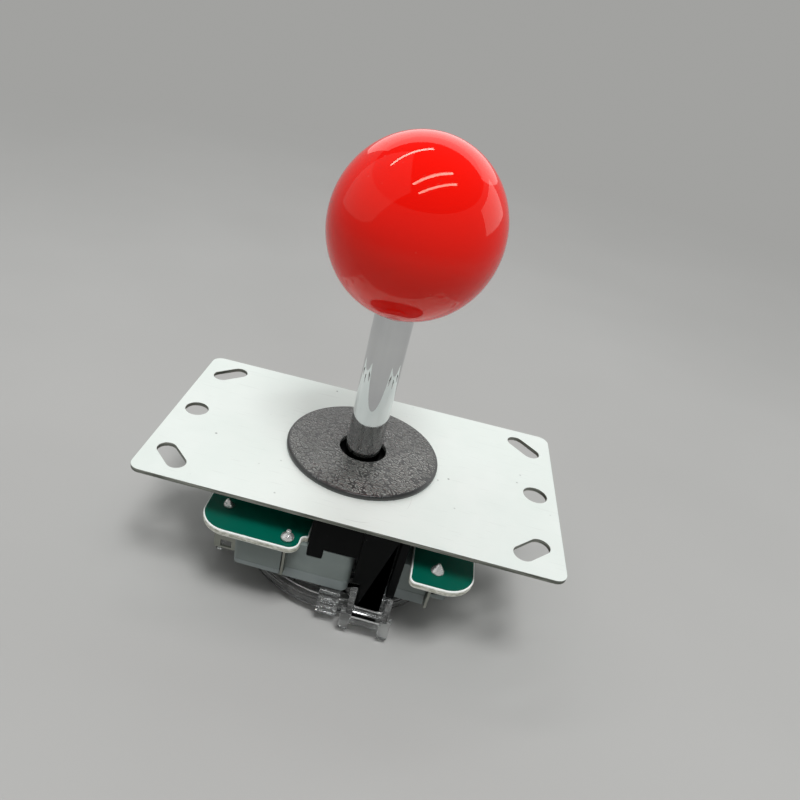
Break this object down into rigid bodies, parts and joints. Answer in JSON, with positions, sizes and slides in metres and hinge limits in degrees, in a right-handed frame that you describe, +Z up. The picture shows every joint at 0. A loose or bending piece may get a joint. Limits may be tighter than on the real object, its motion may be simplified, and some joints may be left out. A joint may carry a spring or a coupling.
{
  "type": "arcade joystick",
  "caption": "Ball-topped arcade joystick: a sprung lever on a flat mounting plate tilts and spins over a pinwheel of microswitches on a circuit board, held by a clear latched gate.",
  "frame": {"origin": "centre of the mounting plate's top face, on the lever's axis at rest", "axes": "+Z up along the lever, +X along the plate's long side, +Y to the back as pictured"},
  "size_m": [0.095, 0.0615, 0.1015],
  "materials": {
    "plate_steel": "satin zinc plating",
    "screw_steel": "plated steel",
    "washer_black": "leather grain, satin",
    "body_black": "fine moulded grain",
    "board_green": "solder resist over laminate, pale cut edge",
    "solder": "bright solder",
    "switch_grey": "satin moulding",
    "cover_grey": "satin moulding",
    "terminal_metal": "tinned strip",
    "blade_copper": "spring copper strip",
    "plunger_white": "slippery moulding",
    "clear_plastic": "clear moulding",
    "header_ivory": "moulding",
    "pin_metal": "tinned pins",
    "pivot_black": "slippery moulding",
    "seat_black": "slippery moulding",
    "spring_steel": "spring wire",
    "shaft_chrome": "polished plating",
    "actuator_black": "moulding",
    "clip_steel": "blackened spring steel",
    "ball_red": "polished moulding",
    "insert_brass": "turned brass"
  },
  "bodies": {
    "housing": {"mounting_plate": "plate_steel", "plate_screws": "screw_steel", "dust_washer": "washer_black", "main_body": "body_black", "circuit_board": "board_green", "solder_joints": "solder", "gate_frame": "clear_plastic", "restrictor": "clear_plastic", "header_shroud": "header_ivory", "header_contacts": "pin_metal", "spring_seat": "seat_black", "switch_base_front": "switch_grey", "switch_cover_front": "cover_grey", "switch_terminals_front": "terminal_metal", "switch_blade_front": "blade_copper", "switch_base_right": "switch_grey", "switch_cover_right": "cover_grey", "switch_terminals_right": "terminal_metal", "switch_blade_right": "blade_copper", "switch_base_back": "switch_grey", "switch_cover_back": "cover_grey", "switch_terminals_back": "terminal_metal", "switch_blade_back": "blade_copper", "switch_base_left": "switch_grey", "switch_cover_left": "cover_grey", "switch_terminals_left": "terminal_metal", "switch_blade_left": "blade_copper"},
    "spring": {"return_spring": "spring_steel"},
    "pivot": {"pivot_ball": "pivot_black"},
    "lever": {"lever_shaft": "shaft_chrome", "ball_top": "ball_red", "ball_insert": "insert_brass", "actuator": "actuator_black", "e_clip": "clip_steel"},
    "plunger_front": {"switch_plunger_front": "plunger_white"},
    "plunger_right": {"switch_plunger_right": "plunger_white"},
    "plunger_back": {"switch_plunger_back": "plunger_white"},
    "plunger_left": {"switch_plunger_left": "plunger_white"}
  },
  "joints": [
    {"name": "tilt_front_back", "type": "hinge", "parent": "housing", "child": "spring", "pos_m": [0, 0, -0.0032], "axis": [1, 0, 0], "range_deg": [-9, 9], "stiffness_Nm_per_rad": 0.6, "deforming": ["return_spring"]},
    {"name": "tilt_left_right", "type": "hinge", "parent": "spring", "child": "pivot", "pos_m": [0, 0, -0.0032], "axis": [0, 1, 0], "range_deg": [-9, 9], "stiffness_Nm_per_rad": 0.6, "deforming": ["return_spring"]},
    {"name": "lever_spin", "type": "hinge", "parent": "pivot", "child": "lever", "pos_m": [0, 0, -0.0032], "axis": [0, 0, 1], "continuous": true},
    {"name": "press_front", "type": "slide", "parent": "housing", "child": "plunger_front", "axis": [0, -1, 0], "range_m": [-0.001, 0.001]},
    {"name": "press_right", "type": "slide", "parent": "housing", "child": "plunger_right", "axis": [1, 0, 0], "range_m": [-0.001, 0.001]},
    {"name": "press_back", "type": "slide", "parent": "housing", "child": "plunger_back", "axis": [0, 1, 0], "range_m": [-0.001, 0.001]},
    {"name": "press_left", "type": "slide", "parent": "housing", "child": "plunger_left", "axis": [-1, 0, 0], "range_m": [-0.001, 0.001]}
  ],
  "couplings": [
    {"joint": "press_front", "follows": "tilt_front_back", "m_per_rad": -0.00636},
    {"joint": "press_back", "follows": "tilt_front_back", "m_per_rad": 0.00636},
    {"joint": "press_right", "follows": "tilt_left_right", "m_per_rad": -0.00636},
    {"joint": "press_left", "follows": "tilt_left_right", "m_per_rad": 0.00636}
  ]
}
